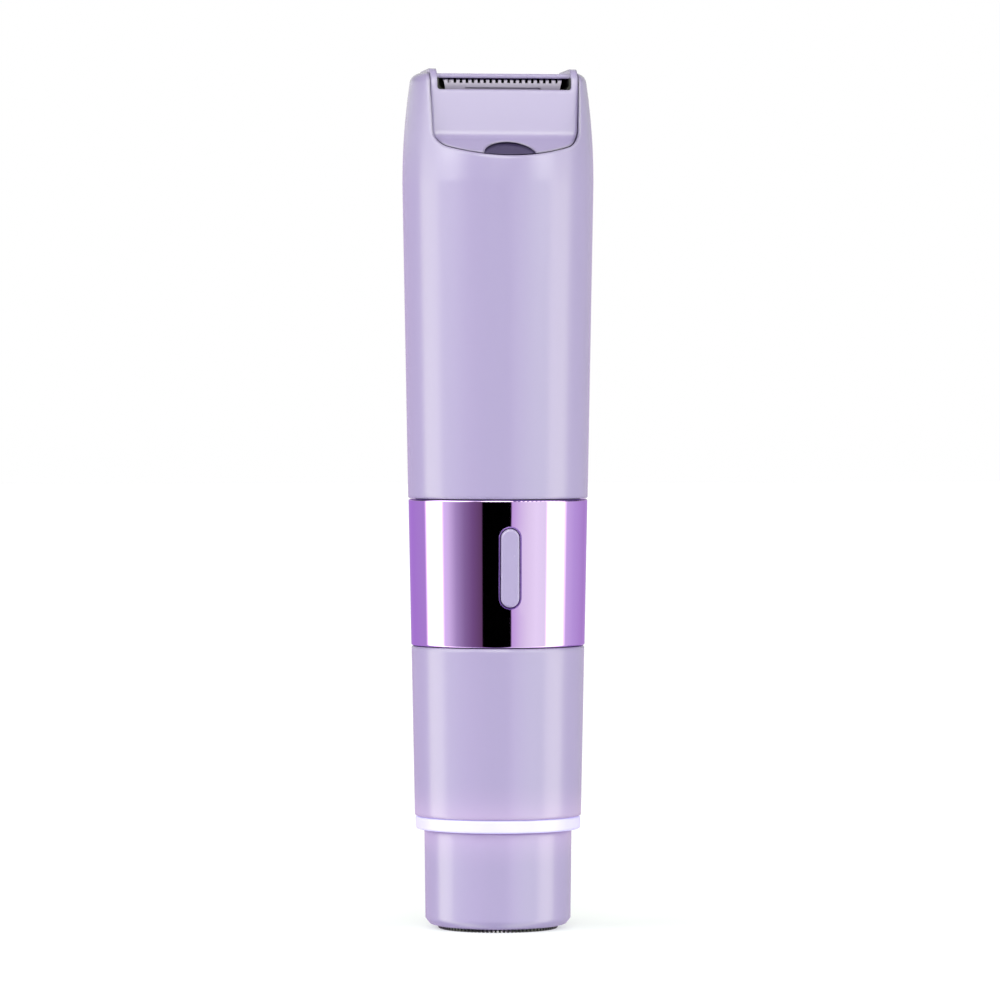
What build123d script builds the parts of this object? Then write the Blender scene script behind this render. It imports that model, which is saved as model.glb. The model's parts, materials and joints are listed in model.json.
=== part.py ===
from build123d import *
import os

# Double-ended shaver and trimmer. Millimetres, +Z up, the front faces -Y.
# The origin is the centre of the shaver cap's outer face, on the long axis.

# heights of the outer parts
CAP_PROUD = 0.6
COLLAR_TOP = 19.5
RING_BOTTOM = 19.6
RING_TOP = 22.1
LOWER_SHELL_BOTTOM = 22.2
LOWER_SHELL_TOP = 55.4
BAND_BOTTOM = 55.55
BAND_TOP = 84.2
UPPER_SHELL_BOTTOM = 84.35
UPPER_SHELL_TOP = 167.35
OVERALL_HEIGHT = 168.0

# radii of the outer parts
CAP_R = 11.75
COLLAR_R_LOW = 14.25
COLLAR_R_TOP = 14.45
RING_R = 16.15
LOWER_SHELL_R = (16.3, 16.95)
BAND_R = (17.0, 17.55)
UPPER_SHELL_R = 17.6
WALL = 1.7

# the widest section of the upper shell, which is round all the way up
WIDEST_Z = 146.0
WIDEST_R = 18.72

# wedge of the trimmer head and the U-shaped seam round it
WEDGE_FACE_TOP = 8.9
WEDGE_CORNER = (9.9, 154.6)
WEDGE_LEDGE_END = (20.0, 150.0)
WEDGE_HOLLOW_R = 1.6
SEAM_HALF = 14.6
SEAM_BOTTOM = 150.66
HEAD_GAP = 0.16

# comb and moving blade
TEETH = 20
TOOTH_PITCH = 1.17
TOOTH_GAP = 0.54
TOOTH_DEPTH = 0.8
TIP_Z = 166.0
COMB_FRONT = 6.6
BLADE_THICK = 0.5

# window of the trimmer head
WINDOW_HALF = 13.15
WINDOW_LOW = 163.8
WINDOW_HIGH = 166.15
BAR_TOP = 167.0
BAR_FRONT = 7.1

# power button
BUTTON_Z = 71.05
BUTTON_W = 3.6
BUTTON_H = 15.2
BUTTON_FRONT = 17.5
BUTTON_GAP = 0.15

# cap slots
SLOTS = 88
SLOT_W = 0.42
SLOT_INNER_R = 7.6

# bought-in parts
CELL_R = 7.0
CELL_L = 50.0
CELL_Y = 4.6
CELL_BOTTOM = 53.2
BOARD_FRONT = 7.6
SHAVER_MOTOR_R = 8.0
SHAVER_MOTOR_Z = (26.6, 45.6)
TRIMMER_MOTOR_R = 10.2
TRIMMER_MOTOR_FLAT = 15.4
TRIMMER_MOTOR_Z = (113.0, 138.0)
SHAFT_R = 0.75
ECCENTRIC = 0.6
PIN_R = 0.9
PORT_Z = 32.0
BOSSES = [(-13.2, -5.2), (13.2, -5.2), (-13.2, 5.2), (13.2, 5.2)]

os.makedirs("parts", exist_ok=True)


def shell_radius(z):
    if z > WIDEST_Z:
        return WIDEST_R - 0.0037 * (z - WIDEST_Z) ** 2
    slope = (WIDEST_R - UPPER_SHELL_R) / (WIDEST_Z - UPPER_SHELL_BOTTOM)
    return UPPER_SHELL_R + slope * (z - UPPER_SHELL_BOTTOM)


def shell_body(bottom, top, inset):
    """The upper body of revolution, shrunk by inset."""
    with BuildPart() as body:
        with BuildSketch(Plane.XZ):
            with BuildLine():
                Line((shell_radius(WIDEST_Z) - inset, WIDEST_Z), (shell_radius(bottom) - inset, bottom))
                Line((shell_radius(bottom) - inset, bottom), (0, bottom))
                Line((0, bottom), (0, top))
                Line((0, top), (shell_radius(top) - inset, top))
                middle = (WIDEST_Z + top) / 2
                ThreePointArc(
                    (shell_radius(top) - inset, top),
                    (shell_radius(middle) - inset, middle),
                    (shell_radius(WIDEST_Z) - inset, WIDEST_Z),
                )
            make_face()
        revolve(axis=Axis.Z)
    return body.part


def seam_sketch(inset, top):
    """The U of the head seen from the front, shrunk by inset."""
    half = SEAM_HALF - inset
    low = SEAM_BOTTOM + inset
    with BuildSketch(Plane.XZ) as seam:
        with BuildLine():
            ThreePointArc((-11.7, low + 1.75), (0, low), (11.7, low + 1.75))
            ThreePointArc((11.7, low + 1.75), (half - 1.08, low + 3.0), (half - 0.25, low + 5.5))
            Line((half - 0.25, low + 5.5), (half, low + 13))
            Line((half, low + 13), (half, top))
            Line((half, top), (-half, top))
            Line((-half, top), (-half, low + 13))
            Line((-half, low + 13), (0.25 - half, low + 5.5))
            ThreePointArc((0.25 - half, low + 5.5), (1.08 - half, low + 3.0), (-11.7, low + 1.75))
        make_face()
    return seam.sketch


def wedge_sketch(inset):
    """Side outline of the trimmer head, the same in front and behind, sunk by inset."""
    face_y = WEDGE_FACE_TOP - inset
    corner_y = WEDGE_CORNER[0] - inset
    corner_z = WEDGE_CORNER[1] - inset
    ledge_y = WEDGE_LEDGE_END[0]
    ledge_z = WEDGE_LEDGE_END[1] - 1.1 * inset
    with BuildSketch(Plane.YZ) as wedge:
        with BuildLine():
            Polyline(
                (-ledge_y, 140),
                (-ledge_y, ledge_z),
                (-corner_y, corner_z),
                (-face_y, OVERALL_HEIGHT),
                (face_y, OVERALL_HEIGHT),
                (corner_y, corner_z),
                (ledge_y, ledge_z),
                (ledge_y, 140),
                close=True,
            )
        make_face()
        corners = wedge.vertices().filter_by(lambda v: abs(v.Y - corner_z) < 0.01)
        fillet(corners, radius=WEDGE_HOLLOW_R)
        fillet(wedge.vertices().filter_by(lambda v: v.Y > OVERALL_HEIGHT - 0.01), radius=3.2)
    return wedge.sketch


def revolved(points):
    """A ring or cup from its (radius, height) outline."""
    with BuildPart() as body:
        with BuildSketch(Plane.XZ):
            with BuildLine():
                Polyline(*points, close=True)
            make_face()
        revolve(axis=Axis.Z)
    return body.part


def capsule(width, height, y_near, y_far, z):
    """An upright capsule prism that runs from y = -y_near to y = -y_far."""
    with BuildPart() as prism:
        with BuildSketch(Plane.XZ.offset(y_near)):
            with Locations((0, z)):
                SlotOverall(height, width, rotation=90)
        extrude(amount=y_far - y_near)
    return prism.part


def box(x0, x1, y0, y1, z0, z1):
    with BuildPart() as block:
        with Locations(((x0 + x1) / 2, (y0 + y1) / 2, (z0 + z1) / 2)):
            Box(x1 - x0, y1 - y0, z1 - z0)
    return block.part


def rod_y(x, z, y0, y1, r):
    """A rod along Y from y0 to y1."""
    with BuildPart() as rod:
        with BuildSketch(Plane.XZ.offset(-y0)):
            with Locations((x, z)):
                Circle(r)
        extrude(amount=-(y1 - y0))
    return rod.part


def screw_up(x, y, z_head, length, r, head_r, head_h):
    """A pan-head screw whose head sits below z_head and whose shank points up."""
    with BuildPart() as screw:
        with BuildSketch(Plane.XY.offset(z_head - head_h)):
            with Locations((x, y)):
                Circle(head_r)
        extrude(amount=head_h)
        fillet(screw.edges().filter_by(GeomType.CIRCLE).sort_by(Axis.Z)[0], radius=0.3)
        with BuildSketch(Plane.XY.offset(z_head)):
            with Locations((x, y)):
                Circle(r)
        extrude(amount=length)
        with BuildSketch(Plane.XY.offset(z_head - head_h)):
            with Locations((x, y)):
                Rectangle(head_r * 1.3, 0.3)
                Rectangle(0.3, head_r * 1.3)
        extrude(amount=0.4, mode=Mode.SUBTRACT)
    return screw.part


def wire(points, r=0.35):
    with BuildPart() as lead:
        with BuildLine() as path:
            Spline(*points)
        with BuildSketch(Plane(origin=path.line @ 0, z_dir=path.line % 0)):
            Circle(r)
        sweep()
    return lead.part


def window_block(inset, y_near, y_far, top):
    """The trimmer window with its rounded lower corners, from y = -y_near to y = -y_far."""
    half = WINDOW_HALF - inset
    low = WINDOW_LOW + inset
    with BuildPart() as block:
        with BuildSketch(Plane.XZ.offset(y_near)) as outline:
            with Locations((0, (low + top) / 2)):
                Rectangle(2 * half, top - low)
            fillet(outline.vertices().sort_by(Axis.Y)[:2], radius=0.6)
        extrude(amount=y_far - y_near)
    return block.part


def finish(part, name):
    part.label = name
    export_step(part, "parts/" + name + ".step")


# ---------------------------------------------------------------- shaver head

with BuildPart() as shaver_collar:
    with BuildSketch(Plane.XZ):
        with BuildLine():
            Polyline(
                (CAP_R + 0.2, CAP_PROUD),
                (13.35, 0.95),
                (COLLAR_R_LOW, 2.1),
                (COLLAR_R_TOP, COLLAR_TOP),
                (13.2, COLLAR_TOP),
                (13.2, 4.3),
                (12.75, 4.3),
                (12.75, 3.5),
                (CAP_R + 0.2, 3.5),
                close=True,
            )
        make_face()
    revolve(axis=Axis.Z)
    outer_rims = shaver_collar.edges().filter_by(GeomType.CIRCLE)
    fillet(outer_rims.filter_by(lambda e: e.radius > 13.3 and e.center().Z < 2.2), radius=0.7)
    outer_rims = shaver_collar.edges().filter_by(GeomType.CIRCLE)
    fillet(outer_rims.filter_by(lambda e: e.radius > 14.4), radius=0.3)
finish(shaver_collar.part, "shaver_collar")

with BuildPart() as slotted_cap:
    with BuildSketch(Plane.XZ):
        with BuildLine():
            Polyline(
                (0, 0),
                (CAP_R, 0),
                (CAP_R, 3.6),
                (12.6, 3.6),
                (12.6, 4.2),
                (CAP_R - 0.45, 4.2),
                (CAP_R - 0.45, 0.5),
                (0, 0.5),
                close=True,
            )
        make_face()
    revolve(axis=Axis.Z)
    rim = slotted_cap.edges().filter_by(GeomType.CIRCLE).group_by(Axis.Z)[0]
    fillet(rim, radius=0.35)
    with BuildSketch(Plane.XY.offset(-0.1)):
        with PolarLocations((SLOT_INNER_R + CAP_R + 0.6) / 2, SLOTS):
            Rectangle(CAP_R + 0.6 - SLOT_INNER_R, SLOT_W)
    extrude(amount=1.6, mode=Mode.SUBTRACT)
    with BuildSketch(Plane.XY):
        Circle(6.4)
        Circle(5.9, mode=Mode.SUBTRACT)
    extrude(amount=0.15, mode=Mode.SUBTRACT)
finish(slotted_cap.part, "slotted_cap")

with BuildPart() as cap_retainer:
    with BuildSketch(Plane.XY.offset(4.35)):
        Circle(13.1)
        Circle(11.6, mode=Mode.SUBTRACT)
        with PolarLocations(11.4, 3):
            Rectangle(0.8, 4.0)
    extrude(amount=1.3)
finish(cap_retainer.part, "cap_retainer")

with BuildPart() as rotary_cutter:
    with BuildSketch(Plane.XY.offset(2.0)):
        Circle(10.6)
        Circle(2.6, mode=Mode.SUBTRACT)
        with PolarLocations(5.6, 6):
            Circle(1.1, mode=Mode.SUBTRACT)
    extrude(amount=0.5)
    with BuildSketch(Plane.XY.offset(0.58)):
        with PolarLocations(9.0, 12):
            Rectangle(3.0, 0.6)
    extrude(amount=1.42)
finish(rotary_cutter.part, "rotary_cutter")

with BuildPart() as cutter_carrier:
    with BuildSketch(Plane.XY.offset(2.5)):
        Circle(7.4)
    extrude(amount=1.0)
    with BuildSketch(Plane.XY.offset(3.5)):
        Circle(3.3)
    extrude(amount=4.9)
    with BuildSketch(Plane.XY.offset(1.4)):
        Circle(2.5)
    extrude(amount=1.1)
    with BuildSketch(Plane.XY.offset(4.2)):
        Rectangle(3.3, 3.3)
    extrude(amount=4.5, mode=Mode.SUBTRACT)
finish(cutter_carrier.part, "cutter_carrier")

with BuildPart() as drive_coupler:
    with BuildSketch(Plane.XY.offset(5.4)):
        Rectangle(3.1, 3.1)
    extrude(amount=6.6)
    with BuildSketch(Plane.XY.offset(12.0)):
        Circle(3.3)
    extrude(amount=8.0)
    with BuildSketch(Plane.XY.offset(13.0)):
        Circle(SHAFT_R + 0.02)
    extrude(amount=7.5, mode=Mode.SUBTRACT)
    fillet(drive_coupler.edges().filter_by(GeomType.CIRCLE).group_by(Axis.Z)[-1], radius=0.25)
finish(drive_coupler.part, "drive_coupler")

with BuildPart() as cutter_spring:
    with BuildLine() as spring_path:
        Helix(pitch=0.95, height=2.85, radius=2.75, center=(0, 0, 8.75))
    with BuildSketch(Plane(origin=spring_path.line @ 0, z_dir=spring_path.line % 0)):
        Circle(0.2)
    sweep()
finish(cutter_spring.part, "cutter_spring")

with BuildPart() as shaver_shaft:
    with BuildSketch(Plane.XY.offset(13.4)):
        Circle(SHAFT_R)
    extrude(amount=31.4)
    with BuildSketch(Plane.XY.offset(28.0)):
        Circle(4.6)
    extrude(amount=13.0)
    with BuildSketch(Plane.XY.offset(28.0)):
        with PolarLocations(4.3, 3):
            Rectangle(1.6, 0.7)
    extrude(amount=13.0, mode=Mode.SUBTRACT)
finish(shaver_shaft.part, "shaver_shaft")

# ---------------------------------------------------------------- lower body

with BuildPart() as lower_bulkhead:
    add(
        revolved(
            [
                (11.2, 6.6),
                (12.9, 6.6),
                (12.9, 15.4),
                (12.35, 15.4),
                (12.35, 16.6),
                (12.9, 16.6),
                (12.9, 23.3),
                (14.55, 23.3),
                (14.55, 26.5),
                (3.3, 26.5),
                (3.3, 23.9),
                (11.2, 23.9),
            ]
        )
    )
    with BuildSketch(Plane.XY.offset(23.9)):
        with Locations((-5.5, 0), (5.5, 0)):
            Circle(1.1)
    extrude(amount=3, mode=Mode.SUBTRACT)
    with BuildSketch(Plane.XY.offset(23.2)):
        with Locations((0, 13.9)):
            Rectangle(3.4, 1.6)
    extrude(amount=4, mode=Mode.SUBTRACT)
    lead_in = lower_bulkhead.edges().filter_by(GeomType.CIRCLE)
    fillet(lead_in.filter_by(lambda e: e.center().Z < 6.7 and e.radius > 12), radius=0.5)
finish(lower_bulkhead.part, "lower_bulkhead")

with BuildPart() as neck_seal:
    with BuildSketch(Plane.XZ):
        with Locations((12.72, 16.0)):
            Circle(0.36)
    revolve(axis=Axis.Z)
finish(neck_seal.part, "neck_seal")

with BuildPart() as light_ring:
    add(
        revolved(
            [
                (13.0, RING_BOTTOM),
                (RING_R, RING_BOTTOM),
                (RING_R, RING_TOP),
                (13.0, RING_TOP),
            ]
        )
    )
    ring_rims = light_ring.edges().filter_by(GeomType.CIRCLE)
    fillet(ring_rims.filter_by(lambda e: e.radius > 16), radius=0.45)
    with BuildSketch(Plane.XY.offset(RING_TOP)):
        with PolarLocations(13.8, 12):
            Rectangle(1.3, 1.5)
    extrude(amount=-0.9, mode=Mode.SUBTRACT)
finish(light_ring.part, "light_ring")

with BuildPart() as ring_light_board:
    with BuildSketch(Plane.XY.offset(RING_TOP + 0.1)):
        Circle(14.55)
        Circle(13.05, mode=Mode.SUBTRACT)
    extrude(amount=0.8)
finish(ring_light_board.part, "ring_light_board")

with BuildPart() as ring_leds:
    with BuildSketch(Plane.XY.offset(RING_TOP - 0.75)):
        with PolarLocations(13.8, 12):
            Rectangle(1.0, 1.2)
    extrude(amount=0.8)
finish(ring_leds.part, "ring_leds")

with BuildPart() as lower_shell:
    add(
        revolved(
            [
                (14.7, LOWER_SHELL_BOTTOM),
                (LOWER_SHELL_R[0], LOWER_SHELL_BOTTOM),
                (LOWER_SHELL_R[1], LOWER_SHELL_TOP),
                (15.35, LOWER_SHELL_TOP),
                (15.35, 49.0),
                (14.7, 49.0),
            ]
        )
    )
    shell_rims = lower_shell.edges().filter_by(GeomType.CIRCLE)
    fillet(shell_rims.filter_by(lambda e: e.radius > 16), radius=0.3)
    with BuildSketch(Plane.XZ.offset(-12)):
        with Locations((0, PORT_Z)):
            SlotOverall(9.5, 3.8)
    extrude(amount=-6, mode=Mode.SUBTRACT)
finish(lower_shell.part, "lower_shell")

with BuildPart() as shaver_motor_can:
    with BuildSketch(Plane.XY.offset(SHAVER_MOTOR_Z[0])):
        Circle(SHAVER_MOTOR_R)
    extrude(amount=SHAVER_MOTOR_Z[1] - SHAVER_MOTOR_Z[0])
    fillet(shaver_motor_can.edges().filter_by(GeomType.CIRCLE), radius=0.6)
    with BuildSketch(Plane.XY.offset(24.6)):
        Circle(3.0)
    extrude(amount=2.5)
    with BuildSketch(Plane.XY.offset(24)):
        Circle(SHAFT_R + 0.05)
    extrude(amount=30, mode=Mode.SUBTRACT)
    with BuildSketch(Plane.XY.offset(27.4)):
        Circle(5.0)
    extrude(amount=14.2, mode=Mode.SUBTRACT)
    with BuildSketch(Plane.XY.offset(41.6)):
        Circle(7.2)
    extrude(amount=5, mode=Mode.SUBTRACT)
    with BuildSketch(Plane.XY.offset(26)):
        with Locations((-5.5, 0), (5.5, 0)):
            Circle(1.1)
    extrude(amount=3.6, mode=Mode.SUBTRACT)
finish(shaver_motor_can.part, "shaver_motor_can")

with BuildPart() as shaver_motor_cap:
    with BuildSketch(Plane.XY.offset(41.7)):
        Circle(7.1)
        Circle(SHAFT_R + 0.05, mode=Mode.SUBTRACT)
    extrude(amount=4.6)
    with BuildSketch(Plane.XY.offset(46.3)):
        with Locations((-4.5, 0), (4.5, 0)):
            Rectangle(0.5, 2.0)
    extrude(amount=2.2)
finish(shaver_motor_cap.part, "shaver_motor_cap")

with BuildPart() as shaver_motor_screws:
    for side in (-5.5, 5.5):
        add(screw_up(side, 0, 23.85, 3.3, 0.9, 1.8, 1.1))
finish(shaver_motor_screws.part, "shaver_motor_screws")

with BuildPart() as charging_board:
    with BuildSketch(Plane.XZ.offset(-8.7)):
        with Locations((0, 33.0)):
            Rectangle(12.6, 12.0)
    extrude(amount=-0.8)
finish(charging_board.part, "charging_board")

with BuildPart() as charging_socket:
    with BuildSketch(Plane.XZ.offset(-9.55)):
        with Locations((0, PORT_Z)):
            SlotOverall(8.94, 3.26)
    extrude(amount=-6.2)
    with BuildSketch(Plane.XZ.offset(-15.75)):
        with Locations((0, PORT_Z)):
            SlotOverall(8.34, 2.66)
            SlotOverall(6.7, 0.7, mode=Mode.SUBTRACT)
    extrude(amount=5.2, mode=Mode.SUBTRACT)
finish(charging_socket.part, "charging_socket")

# ---------------------------------------------------------------- waist

with BuildPart() as core_tube:
    add(
        revolved(
            [
                (13.9, 49.1),
                (15.25, 49.1),
                (15.25, 55.5),
                (16.1, 55.5),
                (16.1, 84.3),
                (15.75, 84.3),
                (15.75, 90.0),
                (13.9, 90.0),
            ]
        )
    )
    add(capsule(6.4, 18.4, 10, 17, BUTTON_Z), mode=Mode.SUBTRACT)
finish(core_tube.part, "core_tube")

with BuildPart() as chrome_band:
    add(
        revolved(
            [
                (16.15, BAND_BOTTOM),
                (BAND_R[0], BAND_BOTTOM),
                (BAND_R[1], BAND_TOP),
                (16.15, BAND_TOP),
            ]
        )
    )
    band_rims = chrome_band.edges().filter_by(GeomType.CIRCLE)
    fillet(band_rims.filter_by(lambda e: e.radius > 16.5), radius=0.35)
    hole = capsule(BUTTON_W + 2 * BUTTON_GAP, BUTTON_H + 2 * BUTTON_GAP, 12, 19, BUTTON_Z)
    add(hole, mode=Mode.SUBTRACT)
    hole_rim = chrome_band.edges().filter_by(lambda e: (e @ 0.5).Y < -16.8 and abs((e @ 0.5).X) < 2.5)
    chamfer(hole_rim.filter_by(lambda e: abs((e @ 0.5).Z - BUTTON_Z) < 8), length=0.28)
finish(chrome_band.part, "chrome_band")

with BuildPart() as button_seal:
    add(capsule(6.0, 17.8, 15.45, 15.8, BUTTON_Z))
    add(capsule(BUTTON_W + 0.2, BUTTON_H + 0.2, 15, 16, BUTTON_Z), mode=Mode.SUBTRACT)
finish(button_seal.part, "button_seal")

with BuildPart() as power_button:
    add(capsule(BUTTON_W, BUTTON_H, 14.9, BUTTON_FRONT, BUTTON_Z))
    fillet(power_button.faces().sort_by(Axis.Y)[0].edges(), radius=0.45)
    add(capsule(5.4, 17.2, 14.6, 15.4, BUTTON_Z))
    add(rod_y(0, BUTTON_Z, -14.7, -13.1, 1.5))
finish(power_button.part, "power_button")

with BuildPart() as button_pad:
    add(rod_y(0, BUTTON_Z, -13.05, -12.5, 2.0))
    with BuildSketch(Plane.XZ.offset(11.4)):
        with Locations((0, BUTTON_Z)):
            Circle(2.4)
            Circle(1.7, mode=Mode.SUBTRACT)
    extrude(amount=1.1)
finish(button_pad.part, "button_pad")

with BuildPart() as tactile_switch:
    add(box(-3, 3, -10.6, -BOARD_FRONT - 0.05, BUTTON_Z - 3, BUTTON_Z + 3))
    fillet(tactile_switch.edges().filter_by(Axis.Y), radius=0.4)
    add(rod_y(0, BUTTON_Z, -11.2, -10.5, 1.4))
finish(tactile_switch.part, "tactile_switch")

with BuildPart() as main_board:
    add(box(-9, 9, -BOARD_FRONT, 1.2 - BOARD_FRONT, 51.0, 108.0))
    fillet(main_board.edges().filter_by(Axis.Y), radius=1.0)
    with BuildSketch(Plane.XZ.offset(5)):
        with Locations((-7.2, 53), (7.2, 53), (-7.2, 106), (7.2, 106)):
            Circle(0.9)
    extrude(amount=5, both=True, mode=Mode.SUBTRACT)
finish(main_board.part, "main_board")

board_parts = [
    (0.5, 60.0, 4.6, 4.4, 1.2),
    (-4.5, 84.0, 5.0, 5.0, 1.0),
    (4.0, 90.0, 3.0, 3.2, 1.6),
    (-4.0, 95.0, 2.2, 1.4, 0.9),
    (3.5, 81.0, 2.2, 1.4, 0.9),
    (5.0, 98.5, 1.8, 3.0, 1.3),
    (-5.5, 62.0, 1.3, 2.2, 0.8),
    (5.8, 65.0, 1.3, 2.2, 0.8),
]
with BuildPart() as board_components:
    for x, z, wide, tall, thick in board_parts:
        front = -BOARD_FRONT - 0.03
        add(box(x - wide / 2, x + wide / 2, front - thick, front, z - tall / 2, z + tall / 2))
finish(board_components.part, "board_components")

with BuildPart() as battery_cell:
    with BuildSketch(Plane.XY.offset(CELL_BOTTOM)):
        with Locations((0, CELL_Y)):
            Circle(CELL_R)
    extrude(amount=CELL_L - 1.0)
    fillet(battery_cell.edges().filter_by(GeomType.CIRCLE), radius=0.6)
    with BuildSketch(Plane.XY.offset(CELL_BOTTOM + CELL_L - 1.0)):
        with Locations((0, CELL_Y)):
            Circle(2.6)
    extrude(amount=1.0)
finish(battery_cell.part, "battery_cell")

with BuildPart() as battery_tabs:
    for z0, z1 in ((CELL_BOTTOM - 0.35, CELL_BOTTOM - 0.05), (103.25, 103.55)):
        add(box(-2.2, 2.2, -4.2, CELL_Y + 3, z0, z1))
        add(box(-2.2, 2.2, -4.5, -4.2, z0 - 0.6, z1 + 0.6))
finish(battery_tabs.part, "battery_tabs")

with BuildPart() as battery_cradle:
    with BuildSketch(Plane.XY.offset(51.0)):
        with Locations((0, CELL_Y)):
            Circle(8.5)
            Circle(CELL_R + 0.15, mode=Mode.SUBTRACT)
        with Locations((0, CELL_Y - 10)):
            Rectangle(20, 20, mode=Mode.SUBTRACT)
    extrude(amount=54.4)
    for z0 in (51.0, 103.8):
        add(box(-8.2, 8.2, -3.6, 10.5, z0, z0 + 1.6))
    for side in (-1, 1):
        x0, x1 = sorted((side * 7.3, side * 8.45))
        add(box(x0, x1, -3.6, CELL_Y + 0.6, 51.0, 105.4))
    for side in (-7.2, 7.2):
        for z in (53.0, 106.0):
            add(box(side - 1.1, side + 1.1, -6.3, -3.5, z - 2.0, z + 1.6))
            add(rod_y(side, z, -8.2, -6.2, 0.75))
    with BuildSketch(Plane.XZ.offset(-14)):
        with Locations((0, 66), (0, 90)):
            Rectangle(9, 14)
    extrude(amount=8, mode=Mode.SUBTRACT)
finish(battery_cradle.part, "battery_cradle")

# ---------------------------------------------------------------- upper body

outer_stack = shell_body(UPPER_SHELL_BOTTOM, UPPER_SHELL_TOP, 0)

with BuildPart() as upper_shell:
    add(outer_stack)
    fillet(upper_shell.faces().sort_by(Axis.Z)[-1].edges(), radius=2.1)
    fillet(upper_shell.faces().sort_by(Axis.Z)[0].edges(), radius=0.3)
    add(shell_body(UPPER_SHELL_BOTTOM - 0.2, 149.5, WALL), mode=Mode.SUBTRACT)
    extrude(seam_sketch(0, 175), amount=25, both=True, mode=Mode.SUBTRACT)
    with BuildSketch(Plane.XY.offset(145)):
        RectangleRounded(22.0, 13.6, 2.0)
        with Locations((0, -10.6)):
            RectangleRounded(5.6, 2.8, 0.6)
    extrude(amount=11, mode=Mode.SUBTRACT)
    with BuildSketch(Plane.XY.offset(145)):
        with Locations(*BOSSES):
            Circle(0.9)
    extrude(amount=6.6, mode=Mode.SUBTRACT)
finish(upper_shell.part, "upper_shell")

with BuildPart() as motor_bracket:
    with BuildSketch(Plane.XY.offset(138.1)):
        Ellipse(16.2, 12.6)
        Circle(3.4, mode=Mode.SUBTRACT)
        with Locations((-6.0, 0), (6.0, 0)):
            Circle(1.1, mode=Mode.SUBTRACT)
        with Locations((0, -10.4)):
            Rectangle(4.0, 2.0, mode=Mode.SUBTRACT)
    extrude(amount=2.2)
    with BuildSketch(Plane.XY.offset(140.2)):
        with Locations(*BOSSES):
            Circle(1.9)
    extrude(amount=9.25)
    with BuildSketch(Plane.XY.offset(137)):
        with Locations(*BOSSES):
            Circle(0.9)
    extrude(amount=14, mode=Mode.SUBTRACT)
finish(motor_bracket.part, "motor_bracket")

with BuildPart() as bracket_screws:
    for x, y in BOSSES:
        add(screw_up(x, y, 138.05, 13.2, 0.8, 1.7, 1.1))
finish(bracket_screws.part, "bracket_screws")

with BuildPart() as motor_screws:
    for x in (-6.0, 6.0):
        with Locations((x, 0, 141.0)):
            Cylinder(1.8, 1.2)
        with Locations((x, 0, 138.4)):
            Cylinder(0.9, 4.0)
        with Locations((x, 0, 141.5)):
            Box(2.4, 0.35, 0.6, mode=Mode.SUBTRACT)
finish(motor_screws.part, "motor_screws")

with BuildPart() as trimmer_motor_can:
    with BuildSketch(Plane.XY.offset(TRIMMER_MOTOR_Z[0])):
        Circle(TRIMMER_MOTOR_R)
        Rectangle(30, TRIMMER_MOTOR_FLAT, mode=Mode.INTERSECT)
    extrude(amount=TRIMMER_MOTOR_Z[1] - TRIMMER_MOTOR_Z[0])
    fillet(trimmer_motor_can.faces().sort_by(Axis.Z)[-1].edges(), radius=0.8)
    with BuildSketch(Plane.XY.offset(137)):
        Circle(3.1)
    extrude(amount=2.6)
    with BuildSketch(Plane.XY.offset(116.6)):
        Circle(6.6)
    extrude(amount=19, mode=Mode.SUBTRACT)
    with BuildSketch(Plane.XY.offset(110)):
        Circle(9.3)
        Rectangle(30, TRIMMER_MOTOR_FLAT - 1.8, mode=Mode.INTERSECT)
    extrude(amount=6.6, mode=Mode.SUBTRACT)
    with BuildSketch(Plane.XY.offset(110)):
        Circle(1.05)
    extrude(amount=31, mode=Mode.SUBTRACT)
    with BuildSketch(Plane.XY.offset(136.0)):
        with Locations((-6.0, 0), (6.0, 0)):
            Circle(1.05)
    extrude(amount=3, mode=Mode.SUBTRACT)
finish(trimmer_motor_can.part, "trimmer_motor_can")

with BuildPart() as trimmer_motor_cap:
    with BuildSketch(Plane.XY.offset(112.4)):
        Circle(9.2)
        Rectangle(30, TRIMMER_MOTOR_FLAT - 2.0, mode=Mode.INTERSECT)
        Circle(1.05, mode=Mode.SUBTRACT)
    extrude(amount=4.1)
    with BuildSketch(Plane.XY.offset(110.2)):
        with Locations((-5.5, 0), (5.5, 0)):
            Rectangle(0.5, 2.4)
    extrude(amount=2.3)
finish(trimmer_motor_cap.part, "trimmer_motor_cap")

with BuildPart() as trimmer_shaft:
    with BuildSketch(Plane.XY.offset(112.6)):
        Circle(1.0)
    extrude(amount=32.0)
    with BuildSketch(Plane.XY.offset(117.6)):
        Circle(6.1)
    extrude(amount=16.4)
    with BuildSketch(Plane.XY.offset(117.6)):
        with PolarLocations(5.6, 3):
            Rectangle(2.2, 0.9)
    extrude(amount=16.4, mode=Mode.SUBTRACT)
finish(trimmer_shaft.part, "trimmer_shaft")

with BuildPart() as eccentric_cam:
    with BuildSketch(Plane.XY.offset(141.2)):
        Circle(3.2)
    extrude(amount=4.4)
    with BuildSketch(Plane.XY.offset(141.0)):
        Circle(1.02)
    extrude(amount=3.7, mode=Mode.SUBTRACT)
    with BuildSketch(Plane.XY.offset(145.6)):
        with Locations((ECCENTRIC, 0)):
            Circle(PIN_R)
    extrude(amount=6.4)
    with BuildSketch(Plane.XY.offset(141.2)):
        with Locations((-2.4, 0)):
            Circle(0.5)
    extrude(amount=5, mode=Mode.SUBTRACT)
finish(eccentric_cam.part, "eccentric_cam")

with BuildPart() as latch_clips:
    for side in (-1, 1):
        x0, x1 = sorted((side * 11.05, side * 11.35))
        add(box(x0, x1, -2.6, 2.6, 142.4, 149.3))
        foot0, foot1 = sorted((side * 11.05, side * 14.6))
        add(box(foot0, foot1, -2.6, 2.6, 149.1, 149.4))
finish(latch_clips.part, "latch_clips")

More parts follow.
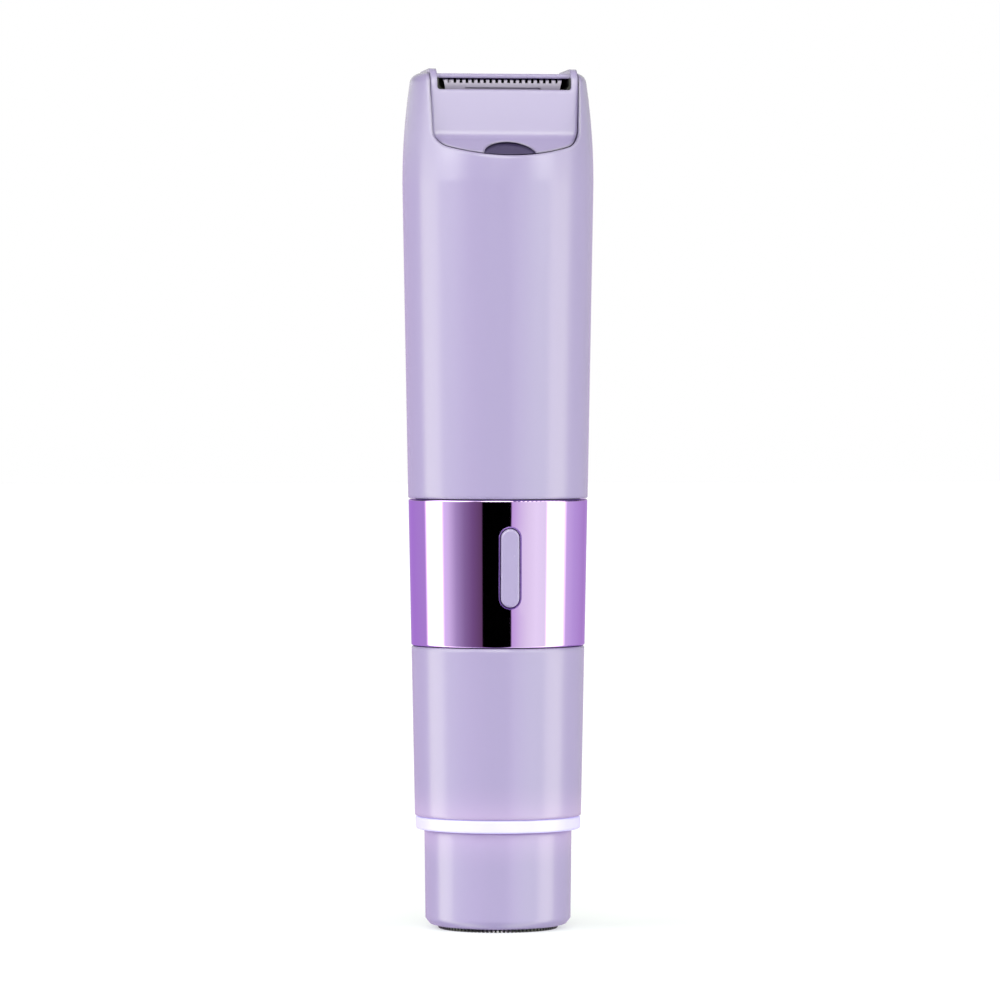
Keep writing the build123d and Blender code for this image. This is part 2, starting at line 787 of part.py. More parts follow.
with BuildPart() as lamp_board:
    add(box(-4.6, 4.6, -11.9, -8.0, 145.4, 146.4))
finish(lamp_board.part, "lamp_board")

with BuildPart() as lamp_led:
    add(box(-1.75, 1.75, -11.6, -9.6, 146.45, 147.4))
    with Locations((0, -10.6, 147.4)):
        Cylinder(0.85, 0.9, align=(Align.CENTER, Align.CENTER, Align.MIN))
    fillet(lamp_led.edges().filter_by(GeomType.CIRCLE).sort_by(Axis.Z)[-1], radius=0.7)
finish(lamp_led.part, "lamp_led")

# ---------------------------------------------------------------- trimmer head

with BuildPart() as trimmer_housing:
    extrude(seam_sketch(HEAD_GAP, OVERALL_HEIGHT), amount=25, both=True)
    extrude(wedge_sketch(0), amount=25, both=True, mode=Mode.INTERSECT)
    add(shell_body(UPPER_SHELL_BOTTOM, OVERALL_HEIGHT, 0), mode=Mode.INTERSECT)
    add(box(-WINDOW_HALF, WINDOW_HALF, -20, 20, BAR_TOP, 175), mode=Mode.SUBTRACT)
    add(window_block(0, BAR_FRONT, 20, 175), mode=Mode.SUBTRACT)
    add(window_block(0, -3.6, BAR_FRONT + 0.5, WINDOW_HIGH), mode=Mode.SUBTRACT)
    with BuildSketch(Plane.XY.offset(146.6)):
        RectangleRounded(21.4, 13.0, 1.8)
    extrude(amount=6.0)
    add(box(-9.5, 9.5, -5.2, 5.2, 146, 160), mode=Mode.SUBTRACT)
    add(box(-12.3, 12.3, -COMB_FRONT - 0.05, 5.2, 156.6, WINDOW_LOW + 1), mode=Mode.SUBTRACT)
    for side in (-9.6, 9.6):
        add(rod_y(side, 159.6, -7.6, -5.0, 0.7), mode=Mode.SUBTRACT)
    with BuildSketch(Plane.XZ.offset(10.4)):
        with Locations((0, SEAM_BOTTOM + 0.05)):
            Ellipse(5.2, 2.8)
    extrude(amount=12, mode=Mode.SUBTRACT)
finish(trimmer_housing.part, "trimmer_housing")

with BuildPart() as window_liner:
    add(window_block(0.05, -3.5, 8.6, WINDOW_HIGH - 0.05))
    add(window_block(0.4, -3.1, 9, 175), mode=Mode.SUBTRACT)
    add(box(-12.4, 12.4, -9, -4.4, 163, 165), mode=Mode.SUBTRACT)
finish(window_liner.part, "window_liner")

with BuildPart() as lamp_lens:
    with BuildSketch(Plane.XZ.offset(10.5)):
        with Locations((0, SEAM_BOTTOM + 0.05)):
            Ellipse(5.1, 2.7)
    extrude(amount=12)
    extrude(wedge_sketch(0.3), amount=25, both=True, mode=Mode.INTERSECT)
    extrude(seam_sketch(HEAD_GAP + 0.08, 170), amount=25, both=True, mode=Mode.INTERSECT)
finish(lamp_lens.part, "lamp_lens")

comb_half = TEETH * TOOTH_PITCH / 2
with BuildPart() as fixed_comb:
    with BuildSketch(Plane.XZ.offset(COMB_FRONT - BLADE_THICK)):
        with BuildLine():
            Polyline(
                (-comb_half, TIP_Z),
                (comb_half, TIP_Z),
                (comb_half - 0.4, 164.35),
                (comb_half - 0.4, 157.6),
                (8.0, 157.6),
                (7.4, 164.35),
                (-7.4, 164.35),
                (-8.0, 157.6),
                (0.4 - comb_half, 157.6),
                (0.4 - comb_half, 164.35),
                close=True,
            )
        make_face()
        with Locations((0, TIP_Z - TOOTH_DEPTH / 2 + 0.1)):
            with GridLocations(TOOTH_PITCH, 1, TEETH - 1, 1):
                Rectangle(TOOTH_GAP, TOOTH_DEPTH + 0.2, mode=Mode.SUBTRACT)
        with Locations((-9.6, 159.6), (9.6, 159.6)):
            Circle(0.8, mode=Mode.SUBTRACT)
    extrude(amount=BLADE_THICK)
    tips = fixed_comb.faces().sort_by(Axis.Z)[-TEETH:].edges().filter_by(Axis.X)
    chamfer(tips.group_by(Axis.Y)[0], length=0.25)
finish(fixed_comb.part, "fixed_comb")

with BuildPart() as moving_blade:
    with BuildSketch(Plane.XZ.offset(COMB_FRONT - 2 * BLADE_THICK - 0.05)):
        with BuildLine():
            Polyline(
                (-10.5, TIP_Z - 0.15),
                (10.5, TIP_Z - 0.15),
                (10.5, 163.2),
                (7.2, 162.4),
                (7.2, 157.4),
                (-7.2, 157.4),
                (-7.2, 162.4),
                (-10.5, 163.2),
                close=True,
            )
        make_face()
        with Locations((0, TIP_Z - 0.15 - TOOTH_DEPTH / 2 + 0.1)):
            with GridLocations(TOOTH_PITCH, 1, TEETH - 3, 1):
                Rectangle(TOOTH_GAP, TOOTH_DEPTH + 0.2, mode=Mode.SUBTRACT)
        with Locations((-4.5, 159.4), (4.5, 159.4)):
            Circle(0.85, mode=Mode.SUBTRACT)
    extrude(amount=BLADE_THICK)
finish(moving_blade.part, "moving_blade")

blade_rear = COMB_FRONT - 2 * BLADE_THICK - 0.05
with BuildPart() as blade_carrier:
    add(box(-8.4, 8.4, 0.05 - blade_rear, -2.6, 157.4, 161.6))
    for x in (-4.5, 4.5):
        add(rod_y(x, 159.4, -blade_rear - 0.45, -blade_rear + 0.2, 0.8))
    add(box(-5.2, 5.2, -4.8, 2.2, 154.2, 157.5))
    for side in (-1, 1):
        x0, x1 = sorted((side * 2.3, side * 4.2))
        add(box(x0, x1, -2.2, 2.2, 147.6, 154.3))
finish(blade_carrier.part, "blade_carrier")

with BuildPart() as blade_guide:
    add(box(-11.9, 11.9, -1.5, -0.3, 157.8, 162.6))
    for side in (-1, 1):
        x0, x1 = sorted((side * 9.2, side * 11.2))
        add(box(x0, x1, 0.1 - COMB_FRONT + BLADE_THICK, -1.4, 157.8, 161.4))
        add(rod_y(side * 9.6, 159.6, -6, 1, 0.7), mode=Mode.SUBTRACT)
finish(blade_guide.part, "blade_guide")

with BuildPart() as guide_screws:
    for side in (-9.6, 9.6):
        add(rod_y(side, 159.6, -7.4, -0.2, 0.6))
        add(rod_y(side, 159.6, -0.25, 0.75, 1.3))
        add(box(side - 0.9, side + 0.9, 0.45, 0.9, 159.45, 159.75), mode=Mode.SUBTRACT)
finish(guide_screws.part, "guide_screws")

with BuildPart() as blade_spring:
    with BuildSketch(Plane.XY.offset(158.4)):
        with BuildLine():
            ThreePointArc((-7.6, -1.62), (0, -2.5), (7.6, -1.62))
            Line((7.6, -1.62), (7.6, -1.82))
            ThreePointArc((7.6, -1.82), (0, -2.52), (-7.6, -1.82))
            Line((-7.6, -1.82), (-7.6, -1.62))
        make_face()
    extrude(amount=2.0)
finish(blade_spring.part, "blade_spring")

# ---------------------------------------------------------------- wiring

with BuildPart() as trimmer_motor_leads:
    for side in (-1, 1):
        turns = [(5.5, -1.5, 110.0), (5.2, -4.2, 108.6), (4.2, -5.5, 105.5), (4.2, -5.9, 101.0)]
        add(wire([(side * x, y, z) for x, y, z in turns]))
finish(trimmer_motor_leads.part, "trimmer_motor_leads")

with BuildPart() as shaver_motor_leads:
    for side in (-1, 1):
        turns = [(4.5, -1.5, 48.6), (4.4, -4.4, 49.8), (3.4, -5.6, 54.0), (3.4, -5.9, 58.0)]
        add(wire([(side * x, y, z) for x, y, z in turns]))
finish(shaver_motor_leads.part, "shaver_motor_leads")

with BuildPart() as charging_leads:
    for side in (-1, 1):
        turns = [(5.4, 9.8, 39.6), (6.8, 10.2, 43.0), (9.4, 3.0, 48.6), (10.6, -4.6, 54.0), (9.5, -8.6, 60.0)]
        add(wire([(side * x, y, z) for x, y, z in turns]))
finish(charging_leads.part, "charging_leads")

with BuildPart() as lamp_leads:
    for side in (-1, 1):
        low_turns = [(2.4, -8.4, 105.0), (2.4, -9.6, 112.0), (1.4, -10.6, 128.0)]
        turns = low_turns + [(1.0, -10.4, 139.0), (1.0, -9.4, 145.0)]
        add(wire([(side * x, y, z) for x, y, z in turns]))
finish(lamp_leads.part, "lamp_leads")
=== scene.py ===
import json
import math

import bpy
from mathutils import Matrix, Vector


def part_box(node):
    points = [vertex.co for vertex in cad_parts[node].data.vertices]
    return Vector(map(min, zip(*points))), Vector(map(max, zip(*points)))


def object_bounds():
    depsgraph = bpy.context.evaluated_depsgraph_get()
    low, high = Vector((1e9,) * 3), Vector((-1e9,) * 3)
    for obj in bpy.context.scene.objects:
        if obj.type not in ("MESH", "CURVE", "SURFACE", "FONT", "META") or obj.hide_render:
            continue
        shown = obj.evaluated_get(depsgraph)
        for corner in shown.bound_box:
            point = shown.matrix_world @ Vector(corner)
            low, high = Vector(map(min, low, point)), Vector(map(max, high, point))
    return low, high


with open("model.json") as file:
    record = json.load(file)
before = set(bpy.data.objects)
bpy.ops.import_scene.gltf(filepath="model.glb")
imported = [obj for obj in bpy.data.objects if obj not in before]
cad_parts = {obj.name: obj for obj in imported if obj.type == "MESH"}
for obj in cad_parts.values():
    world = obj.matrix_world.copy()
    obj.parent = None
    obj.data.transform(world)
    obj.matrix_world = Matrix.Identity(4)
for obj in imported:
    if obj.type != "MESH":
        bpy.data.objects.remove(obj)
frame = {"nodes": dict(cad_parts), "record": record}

cad_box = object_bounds()
nodes = frame["nodes"]
RING_Z = sum(corner[2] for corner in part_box("light_ring")) / 2
TIP_Z = max(corner[2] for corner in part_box("fixed_comb"))

# ------------------------------------------------------------------ materials


def srgb(r, g, b):
    """Display colour 0-255 to the linear colour a shader takes."""
    out = []
    for v in (r, g, b):
        v = v / 255.0
        out.append(v / 12.92 if v <= 0.04045 else ((v + 0.055) / 1.055) ** 2.4)
    return (*out, 1.0)


MARK_DEPTH = 3e-6  # of the tool marks on bare metal
CAP_SLOTS = 88.0
RING_LAMPS = 12.0
LILAC = (0.263, 0.217, 0.408, 1.0)  # linear


class Shader:
    """A Principled material with helpers that add procedural detail."""

    def __init__(self, name, base, rough=0.4, **sockets):
        self.mat = bpy.data.materials.new(name)
        self.mat.use_nodes = True
        self.tree = self.mat.node_tree
        self.bsdf = self.tree.nodes["Principled BSDF"]
        self.base = base
        self.bsdf.inputs["Base Color"].default_value = base
        self.bsdf.inputs["Roughness"].default_value = rough
        for key, value in sockets.items():
            self.bsdf.inputs[key.replace("_", " ")].default_value = value
        self.coords = self.add("ShaderNodeTexCoord").outputs["Object"]
        self.normal = None

    def add(self, kind, **props):
        node = self.tree.nodes.new(kind)
        for key, value in props.items():
            setattr(node, key, value)
        return node

    def link(self, a, b):
        self.tree.links.new(a, b)

    def math(self, op, a, b=0.0):
        node = self.add("ShaderNodeMath", operation=op)
        for socket, value in zip(node.inputs, (a, b)):
            if isinstance(value, (int, float)):
                socket.default_value = value
            else:
                self.link(value, socket)
        return node.outputs[0]

    def scaled(self, scale):
        """Object coordinates, stretched by a number or an (x, y, z)."""
        if isinstance(scale, (int, float)):
            scale = (scale, scale, scale)
        node = self.add("ShaderNodeMapping")
        node.inputs["Scale"].default_value = scale
        self.link(self.coords, node.inputs["Vector"])
        return node.outputs["Vector"]

    def polar(self, radial, around):
        """Coordinates that follow turning marks about the Z axis."""
        split = self.add("ShaderNodeSeparateXYZ")
        self.link(self.coords, split.inputs[0])
        x, y, z = split.outputs
        radius = self.math("SQRT", self.math("ADD", self.math("MULTIPLY", x, x), self.math("MULTIPLY", y, y)))
        angle = self.math("ARCTAN2", y, x)
        join = self.add("ShaderNodeCombineXYZ")
        self.link(self.math("MULTIPLY", radius, radial), join.inputs[0])
        self.link(self.math("MULTIPLY", angle, around), join.inputs[1])
        self.link(self.math("MULTIPLY", z, radial), join.inputs[2])
        return join.outputs[0]

    def noise(self, vector, detail=3.0, rough=0.55):
        node = self.add("ShaderNodeTexNoise")
        node.inputs["Scale"].default_value = 1.0
        node.inputs["Detail"].default_value = detail
        node.inputs["Roughness"].default_value = rough
        self.link(vector, node.inputs["Vector"])
        return node.outputs["Fac"]

    def spread(self, value, low, high, start=0.3, end=0.7):
        node = self.add("ShaderNodeMapRange")
        node.inputs["From Min"].default_value = start
        node.inputs["From Max"].default_value = end
        node.inputs["To Min"].default_value = low
        node.inputs["To Max"].default_value = high
        self.link(value, node.inputs["Value"])
        return node.outputs["Result"]

    def colours(self, value, a, b):
        node = self.add("ShaderNodeMix", data_type="RGBA")
        self.link(value, node.inputs["Factor"])
        node.inputs["A"].default_value = a
        node.inputs["B"].default_value = b
        self.link(node.outputs["Result"], self.bsdf.inputs["Base Color"])
        return node.outputs["Result"]

    def shade(self, value, amount):
        """Base colour that drifts by a share of itself either way."""
        a = (*(c * (1 - amount) for c in self.base[:3]), 1.0)
        b = (*(min(1.0, c * (1 + amount)) for c in self.base[:3]), 1.0)
        return self.colours(value, a, b)

    def roughness(self, value, low, high):
        self.link(self.spread(value, low, high), self.bsdf.inputs["Roughness"])

    def soften(self, radius):
        """Rounds the shading of sharp edges, as a moulding's small radii do."""
        node = self.add("ShaderNodeBevel", samples=6)
        node.inputs["Radius"].default_value = radius
        self.normal = node.outputs["Normal"]
        self.link(self.normal, self.bsdf.inputs["Normal"])

    def painted_ring_glow(self, height, reach, colour, strength):
        """Painted glow: emission on the plastic on both sides of a lit ring at that height, standing in for
        the ring's light falling on it.
        """
        split = self.add("ShaderNodeSeparateXYZ")
        self.link(self.coords, split.inputs[0])
        away = self.math("DIVIDE", self.math("SUBTRACT", split.outputs[2], height), reach)
        fade = self.math("EXPONENT", self.math("MULTIPLY", self.math("MULTIPLY", away, away), -1.0))
        self.link(self.math("MULTIPLY", fade, strength), self.bsdf.inputs["Emission Strength"])
        self.bsdf.inputs["Emission Color"].default_value = colour

    def matte_top(self, level):
        """Takes the shine off faces that look straight up, which would flare in a low view."""
        split = self.add("ShaderNodeSeparateXYZ")
        self.link(self.add("ShaderNodeNewGeometry").outputs["Normal"], split.inputs[0])
        shine = self.spread(split.outputs[2], level, 0.0, 0.95, 0.995)
        self.link(shine, self.bsdf.inputs["Specular IOR Level"])

    def bump(self, value, distance):
        node = self.add("ShaderNodeBump")
        node.inputs["Distance"].default_value = distance
        node.inputs["Strength"].default_value = 1.0
        self.link(value, node.inputs["Height"])
        if self.normal is not None:
            self.link(self.normal, node.inputs["Normal"])
        self.normal = node.outputs["Normal"]
        self.link(self.normal, self.bsdf.inputs["Normal"])


def moulded(name, base, rough, grain=5200.0, depth=6e-6, **sockets):
    """Moulded plastic: fine grain, slow drift of colour and polish."""
    s = Shader(name, base, rough, **sockets)
    s.shade(s.noise(s.scaled(70.0), 4.0), 0.02)
    s.roughness(s.noise(s.scaled(420.0), 4.0), rough - 0.035, rough + 0.035)
    s.bump(s.noise(s.scaled(grain), 2.0), depth)
    s.bump(s.noise(s.scaled(160.0), 2.0), depth * 1.5)
    return s.mat


def drawn(name, base, rough):
    """Drawn metal, with marks that run up the Z axis."""
    s = Shader(name, base, rough, Metallic=1.0)
    lines = s.noise(s.scaled((9000.0, 9000.0, 120.0)), 3.0)
    s.shade(lines, 0.12)
    s.roughness(lines, rough - 0.08, rough + 0.1)
    s.bump(lines, MARK_DEPTH)
    s.bump(s.noise(s.scaled(300.0), 2.0), MARK_DEPTH)
    return s.mat


def turned(name, base, rough):
    """Lathe-turned or spun metal, with marks round the Z axis."""
    s = Shader(name, base, rough, Metallic=1.0)
    lines = s.noise(s.polar(9000.0, 1.5), 2.0)
    s.shade(lines, 0.1)
    s.roughness(lines, rough - 0.06, rough + 0.08)
    s.bump(lines, MARK_DEPTH)
    return s.mat


def rubbery(name, base, rough=0.7):
    s = Shader(name, base, rough, **{"Sheen_Weight": 0.2})
    s.shade(s.noise(s.scaled(500.0), 4.0), 0.12)
    s.roughness(s.noise(s.scaled(900.0), 3.0), rough - 0.08, rough + 0.08)
    s.bump(s.noise(s.scaled(4200.0), 3.0), 1.2e-5)
    return s.mat


def board(name):
    """Solder mask with faint copper tracks under it."""
    s = Shader(name, srgb(18, 84, 44), 0.32, Coat_Weight=0.5, Coat_Roughness=0.12)
    cells = s.add("ShaderNodeTexVoronoi", feature="F1", distance="MANHATTAN")
    cells.inputs["Scale"].default_value = 1.0
    s.link(s.scaled(620.0), cells.inputs["Vector"])
    tracks = s.spread(cells.outputs["Distance"], 0.0, 1.0, 0.42, 0.5)
    s.colours(tracks, srgb(14, 72, 38), srgb(38, 120, 66))
    s.bump(tracks, 1.2e-5)
    s.bump(s.noise(s.scaled(2500.0), 2.0), 3e-6)
    return s.mat


def soft_lilac():
    """The body's satin lilac: fine mould grain and a slow drift of polish."""
    s = Shader(
        "lilac_soft",
        LILAC,
        0.22,
        Specular_IOR_Level=0.75,
        Subsurface_Weight=0.04,
        Subsurface_Scale=0.001,
        Subsurface_Radius=(1.0, 0.8, 1.0),
    )
    s.soften(0.001)
    s.matte_top(0.75)
    s.shade(s.noise(s.scaled((60.0, 60.0, 25.0)), 3.0), 0.008)
    # painted glow on the shell plastic next to the lit ring
    s.painted_ring_glow(RING_Z, 0.0046, (1.0, 0.6, 0.85, 1.0), 0.13)
    s.roughness(s.noise(s.scaled(900.0), 4.0, 0.5), 0.205, 0.235)
    s.bump(s.noise(s.scaled(7000.0), 1.0), 3.5e-7)
    s.bump(s.noise(s.scaled(45.0), 1.0), 8e-7)
    return s.mat


def plated():
    """Purple electroplate: a mirror with a trace of orange peel."""
    s = Shader(
        "plated_purple",
        (0.55, 0.37, 0.76, 1.0),
        0.04,
        Metallic=1.0,
        Specular_Tint=(0.8, 0.62, 0.95, 1.0),
    )
    s.shade(s.noise(s.scaled(45.0), 3.0), 0.012)
    s.roughness(s.noise(s.scaled(700.0), 5.0, 0.6), 0.03, 0.055)
    s.bump(s.noise(s.scaled(260.0), 2.0), 8e-7)
    return s.mat


def lit_ring():
    """Milky diffuser with the row of lamps behind it just showing."""
    s = Shader("ring_light", (0.4, 0.385, 0.46, 1.0), 0.3)
    split = s.add("ShaderNodeSeparateXYZ")
    s.link(s.coords, split.inputs[0])
    angle = s.math("ARCTAN2", split.outputs[1], split.outputs[0])
    wave = s.math("COSINE", s.math("MULTIPLY", angle, RING_LAMPS))
    cloud = s.noise(s.scaled(260.0), 3.0)
    glow = s.math("ADD", s.spread(wave, 0.94, 1.04, -1.0, 1.0), s.spread(cloud, -0.02, 0.02))
    s.link(glow, s.bsdf.inputs["Emission Strength"])
    s.bsdf.inputs["Emission Color"].default_value = (0.2, 0.165, 0.46, 1.0)
    s.shade(cloud, 0.02)
    s.bump(s.noise(s.scaled(3000.0), 2.0), 3e-6)
    return s.mat


def comb_steel():
    """Ground steel, with a painted highlight at the tips of the teeth and painted shade toward their roots.
    """
    s = Shader("blade_steel", (0.3, 0.27, 0.38, 1.0), 0.42, Metallic=1.0)
    split = s.add("ShaderNodeSeparateXYZ")
    s.link(s.coords, split.inputs[0])
    lines = s.noise(s.scaled((120.0, 9000.0, 9000.0)), 3.0)
    height = s.math("ADD", split.outputs[2], s.spread(lines, -0.0001, 0.0001))
    # painted light: the brighter steel at the teeth tips is a painted highlight, the darker steel toward the
    # roots painted shade
    tip_highlight_share = s.spread(height, 0.0, 1.0, TIP_Z - 0.0018, TIP_Z - 0.0006)
    s.colours(tip_highlight_share, (0.2, 0.175, 0.27, 1.0), (0.37, 0.33, 0.47, 1.0))
    s.roughness(lines, 0.34, 0.5)
    s.bump(lines, MARK_DEPTH)
    return s.mat


def smoked():
    """Dark lamp window, polished, with a faint depth of colour."""
    s = Shader(
        "lens_dark",
        (0.028, 0.02, 0.062, 1.0),
        0.2,
        Specular_IOR_Level=0.3,
        Specular_Tint=(0.75, 0.6, 1.0, 1.0),
    )
    s.shade(s.noise(s.scaled(500.0), 3.0), 0.15)
    s.roughness(s.noise(s.scaled(900.0), 3.0), 0.13, 0.2)
    s.bump(s.noise(s.scaled(700.0), 2.0), 2e-6)
    return s.mat


def slotted_foil():
    """Near-black cap foil with bright ticks round its rim, one to each slot, painted as highlights."""
    s = Shader("cap_steel", (0.03, 0.03, 0.034, 1.0), 0.28, Metallic=0.25)
    split = s.add("ShaderNodeSeparateXYZ")
    s.link(s.coords, split.inputs[0])
    angle = s.math("ARCTAN2", split.outputs[1], split.outputs[0])
    wave = s.math("COSINE", s.math("MULTIPLY", angle, CAP_SLOTS))
    # painted highlights: the bright ticks stand in for glints on the rim between the slots
    s.colours(s.spread(wave, 0.0, 1.0, 0.0, 0.6), (0.015, 0.015, 0.018, 1.0), (0.85, 0.83, 0.87, 1.0))
    lines = s.noise(s.polar(9000.0, 1.5), 2.0)
    s.roughness(lines, 0.24, 0.34)
    s.bump(lines, 2e-6)
    return s.mat


def cell_sleeve():
    s = Shader("cell_wrap", srgb(48, 96, 168), 0.28, Coat_Weight=0.6, Coat_Roughness=0.1)
    s.shade(s.noise(s.scaled((200.0, 200.0, 900.0)), 3.0), 0.08)
    s.roughness(s.noise(s.scaled(600.0), 3.0), 0.22, 0.34)
    s.bump(s.noise(s.scaled((900.0, 900.0, 160.0)), 3.0), 1.5e-5)
    return s.mat


materials = {
    "lilac_soft": soft_lilac(),
    "lilac_gloss": moulded("lilac_gloss", LILAC, 0.24, depth=1.5e-6, Coat_Weight=0.2, Coat_Roughness=0.12),
    "plated_purple": plated(),
    "ring_light": lit_ring(),
    "lens_dark": smoked(),
    "blade_steel": comb_steel(),
    "cap_steel": slotted_foil(),
    "motor_steel": turned("motor_steel", srgb(176, 176, 178), 0.3),
    "screw_steel": turned("screw_steel", srgb(140, 140, 146), 0.34),
    "brass_part": turned("brass_part", srgb(212, 176, 98), 0.28),
    "nickel": drawn("nickel", srgb(202, 198, 188), 0.2),
    "white_abs": moulded("white_abs", srgb(226, 226, 222), 0.42),
    "grey_abs": moulded("grey_abs", srgb(84, 84, 92), 0.45),
    "black_plastic": moulded("black_plastic", srgb(26, 26, 28), 0.32),
    "board_green": board("board_green"),
    "chip_black": moulded("chip_black", srgb(32, 32, 35), 0.5, grain=3800.0, depth=1.2e-5),
    "cell_wrap": cell_sleeve(),
    "led_white": moulded("led_white", srgb(244, 236, 196), 0.2, depth=1e-6, Coat_Weight=0.7),
    "seal_rubber": rubbery("seal_rubber", srgb(40, 34, 52)),
    "pad_rubber": rubbery("pad_rubber", srgb(170, 166, 176)),
    "wire_sleeve": rubbery("wire_sleeve", srgb(150, 24, 26), 0.5),
    "spring_steel": drawn("spring_steel", srgb(150, 150, 156), 0.3),
}

for part in frame["record"]["subparts"]:
    mesh = nodes[part["node"]].data
    mesh.materials.clear()
    mesh.materials.append(materials[part["material_slot"]])

# ------------------------------------------------------------------ stage

VIEW_AZIMUTH = -8.0
VIEW_DISTANCE = 1.14
EYE_HEIGHT = 0.10353
LENS = 209.4
AIM_DROP = 0.0196
AIM_RIGHT = 0.0004

low, high = cad_box


def floor():
    """A pale plain floor; it lights the part and takes its soft shadow."""
    mesh = bpy.data.meshes.new("floor")
    half = 6.0
    corners = [(-half, -half, 0), (half, -half, 0), (half, half, 0), (-half, half, 0)]
    mesh.from_pydata(corners, [], [(0, 1, 2, 3)])
    obj = bpy.data.objects.new("floor", mesh)
    bpy.context.scene.collection.objects.link(obj)
    s = Shader("floor_paper", (0.44, 0.45, 0.5, 1.0), 0.9)
    s.bsdf.inputs["Emission Color"].default_value = (0.98, 0.98, 1.0, 1.0)
    s.bsdf.inputs["Emission Strength"].default_value = 0.5
    s.shade(s.noise(s.scaled(8.0), 2.0), 0.004)
    s.bump(s.noise(s.scaled(900.0), 2.0), 1e-5)
    mesh.materials.append(s.mat)
    obj.location.z = low.z
    obj.visible_glossy = False  # the band mirrors the studio, not the floor


PEAK = 7.5
BOX = (3.4, 3.5, 2.7)
REAR = (0.7, 0.55, 0.8)
BLACK = (0.0, 0.0, 0.0)
# light round the part, by degrees from the camera's side: at the horizon, just above it, and higher up
LEVEL_STOPS = [
    (-180, REAR),
    (-110, REAR),
    (-104, BOX),
    (-79, BOX),
    (-75, (1.25, 1.25, 1.2)),
    (-68, (1.1, 1.14, 1.03)),
    (-56, (0.64, 0.6, 0.65)),
    (-44, (0.4, 0.32, 0.41)),
    (-33, (0.28, 0.18, 0.28)),
    (-20.6, (0.19, 0.11, 0.16)),
    (-20.1, BLACK),
    (17, BLACK),
    (18, (0.94, 0.8, 0.93)),
    (30, (1.15, 1.25, 1.03)),
    (40, (1.31, 1.53, 1.11)),
    (51, (1.42, 1.69, 1.2)),
    (65, (1.34, 1.6, 1.15)),
    (69, BOX),
    (93, BOX),
    (101, (1.0, 0.97, 1.0)),
    (118, (0.84, 0.78, 0.9)),
    (150, (0.72, 0.66, 0.74)),
    (180, REAR),
]
MID_STOPS = [
    (-180, 0.9),
    (-112, 0.9),
    (-100, 2.0),
    (-83, 2.2),
    (-75, 4.2),
    (-62, 6.2),
    (-51, 5.6),
    (-42, 2.6),
    (-32, 0.4),
    (-20, 0.0),
    (20, 0.0),
    (32, 0.3),
    (40, 2.4),
    (48, 4.6),
    (58, 6.4),
    (66, 5.0),
    (76, 1.4),
    (100, 1.4),
    (112, 0.6),
    (180, 0.6),
]
# this table and ZENITH are rounded from a least-squares fit to the photograph, then changed
UPPER_STOPS = [
    (-180, 0.9),
    (-140, 0.05),
    (-115, 0.05),
    (-95, 3.5),
    (-75, 3.5),
    (-60, 3.9),
    (-45, 3.9),
    (-30, 1.4),
    (-9, 7.2),
    (9, 7.2),
    (30, 1.0),
    (45, 3.7),
    (60, 3.1),
    (75, 2.0),
    (95, 3.0),
    (115, 0.05),
    (140, 0.05),
    (180, 0.9),
]
ZENITH = (0.3, 0.3, 0.3)


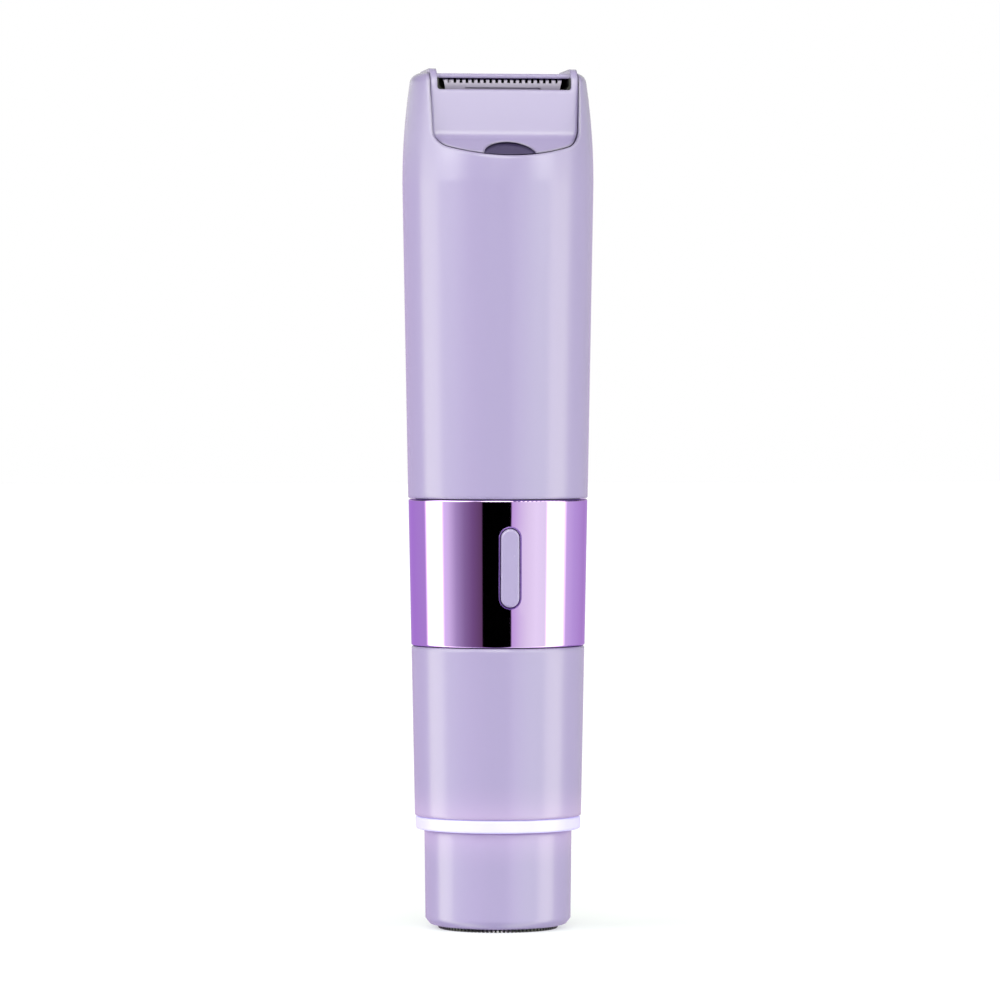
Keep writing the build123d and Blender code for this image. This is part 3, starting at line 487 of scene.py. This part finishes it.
def studio():
    """Soft studio light all round: two tall softboxes at the sides, a dark gap behind the camera."""
    world = bpy.data.worlds.new("studio")
    bpy.context.scene.world = world
    world.use_nodes = True
    tree = world.node_tree
    tree.nodes.clear()
    out = tree.nodes.new("ShaderNodeOutputWorld")
    back = tree.nodes.new("ShaderNodeBackground")
    coords = tree.nodes.new("ShaderNodeTexCoord")
    split = tree.nodes.new("ShaderNodeSeparateXYZ")
    tree.links.new(coords.outputs["Generated"], split.inputs[0])

    def calc(op, a, b=0.0):
        node = tree.nodes.new("ShaderNodeMath")
        node.operation = op
        for socket, value in zip(node.inputs, (a, b)):
            if isinstance(value, (int, float)):
                socket.default_value = value
            else:
                tree.links.new(value, socket)
        return node.outputs[0]

    x, y, z = split.outputs
    turn = calc("ARCTAN2", x, calc("MULTIPLY", y, -1.0))
    turn = calc("SUBTRACT", turn, math.radians(VIEW_AZIMUTH))
    share = calc("FRACT", calc("ADD", calc("DIVIDE", turn, 2 * math.pi), 0.5))

    def panorama(stops):
        """Colour by degrees round from the camera's side, as a share of the brightest."""
        ramp = tree.nodes.new("ShaderNodeValToRGB")
        tree.links.new(share, ramp.inputs[0])
        while len(ramp.color_ramp.elements) < len(stops):
            ramp.color_ramp.elements.new(0.5)
        for element in ramp.color_ramp.elements:
            element.position = 0.0
        for element, (angle, colour) in zip(list(ramp.color_ramp.elements), stops):
            element.position = (angle + 180.0) / 360.0
            element.color = (*(c / PEAK for c in colour), 1.0)
        return ramp.outputs["Color"]

    def rising(low_deg, high_deg):
        step = tree.nodes.new("ShaderNodeMapRange")
        step.interpolation_type = "SMOOTHSTEP"
        step.inputs["From Min"].default_value = math.sin(math.radians(low_deg))
        step.inputs["From Max"].default_value = math.sin(math.radians(high_deg))
        tree.links.new(z, step.inputs["Value"])
        return step.outputs["Result"]

    def over(factor, under, top):
        mix = tree.nodes.new("ShaderNodeMix")
        mix.data_type = "RGBA"
        tree.links.new(factor, mix.inputs["Factor"])
        tree.links.new(under, mix.inputs["A"])
        if isinstance(top, tuple):
            mix.inputs["B"].default_value = top
        else:
            tree.links.new(top, mix.inputs["B"])
        return mix.outputs["Result"]

    level = panorama(LEVEL_STOPS)
    middle = panorama([(angle, (v, v * 1.04, v * 0.9)) for angle, v in MID_STOPS])
    upper = panorama([(angle, (v, v * 1.06, v * 0.84)) for angle, v in UPPER_STOPS])
    sky = over(rising(2.8, 4.5), level, middle)
    sky = over(rising(9, 12.5), sky, upper)
    sky = over(rising(40, 55), sky, (*(c / PEAK for c in ZENITH), 1.0))
    tree.links.new(sky, back.inputs["Color"])
    back.inputs["Strength"].default_value = PEAK

    plain = tree.nodes.new("ShaderNodeBackground")
    plain.inputs["Color"].default_value = (1.0, 1.0, 1.0, 1.0)
    path = tree.nodes.new("ShaderNodeLightPath")
    pick = tree.nodes.new("ShaderNodeMixShader")
    tree.links.new(path.outputs["Is Camera Ray"], pick.inputs[0])
    tree.links.new(back.outputs[0], pick.inputs[1])
    tree.links.new(plain.outputs[0], pick.inputs[2])
    tree.links.new(pick.outputs[0], out.inputs["Surface"])


def camera():
    data = bpy.data.cameras.new("camera")
    data.sensor_width = 36.0
    data.lens = LENS
    data.clip_start = 0.01
    cam = bpy.data.objects.new("camera", data)
    bpy.context.scene.collection.objects.link(cam)
    turn = math.radians(VIEW_AZIMUTH)
    toward = Vector((math.sin(turn), -math.cos(turn), 0.0))
    right = Vector((math.cos(turn), math.sin(turn), 0.0))
    centre = Vector(((low.x + high.x) / 2, (low.y + high.y) / 2, 0.0))
    cam.location = centre + toward * VIEW_DISTANCE
    cam.location.z = EYE_HEIGHT
    aim = centre + right * AIM_RIGHT
    aim.z = EYE_HEIGHT - AIM_DROP
    cam.rotation_euler = (aim - cam.location).to_track_quat("-Z", "Y").to_euler()
    bpy.context.scene.camera = cam


floor()
studio()
camera()
bpy.context.scene.view_settings.view_transform = "Standard"
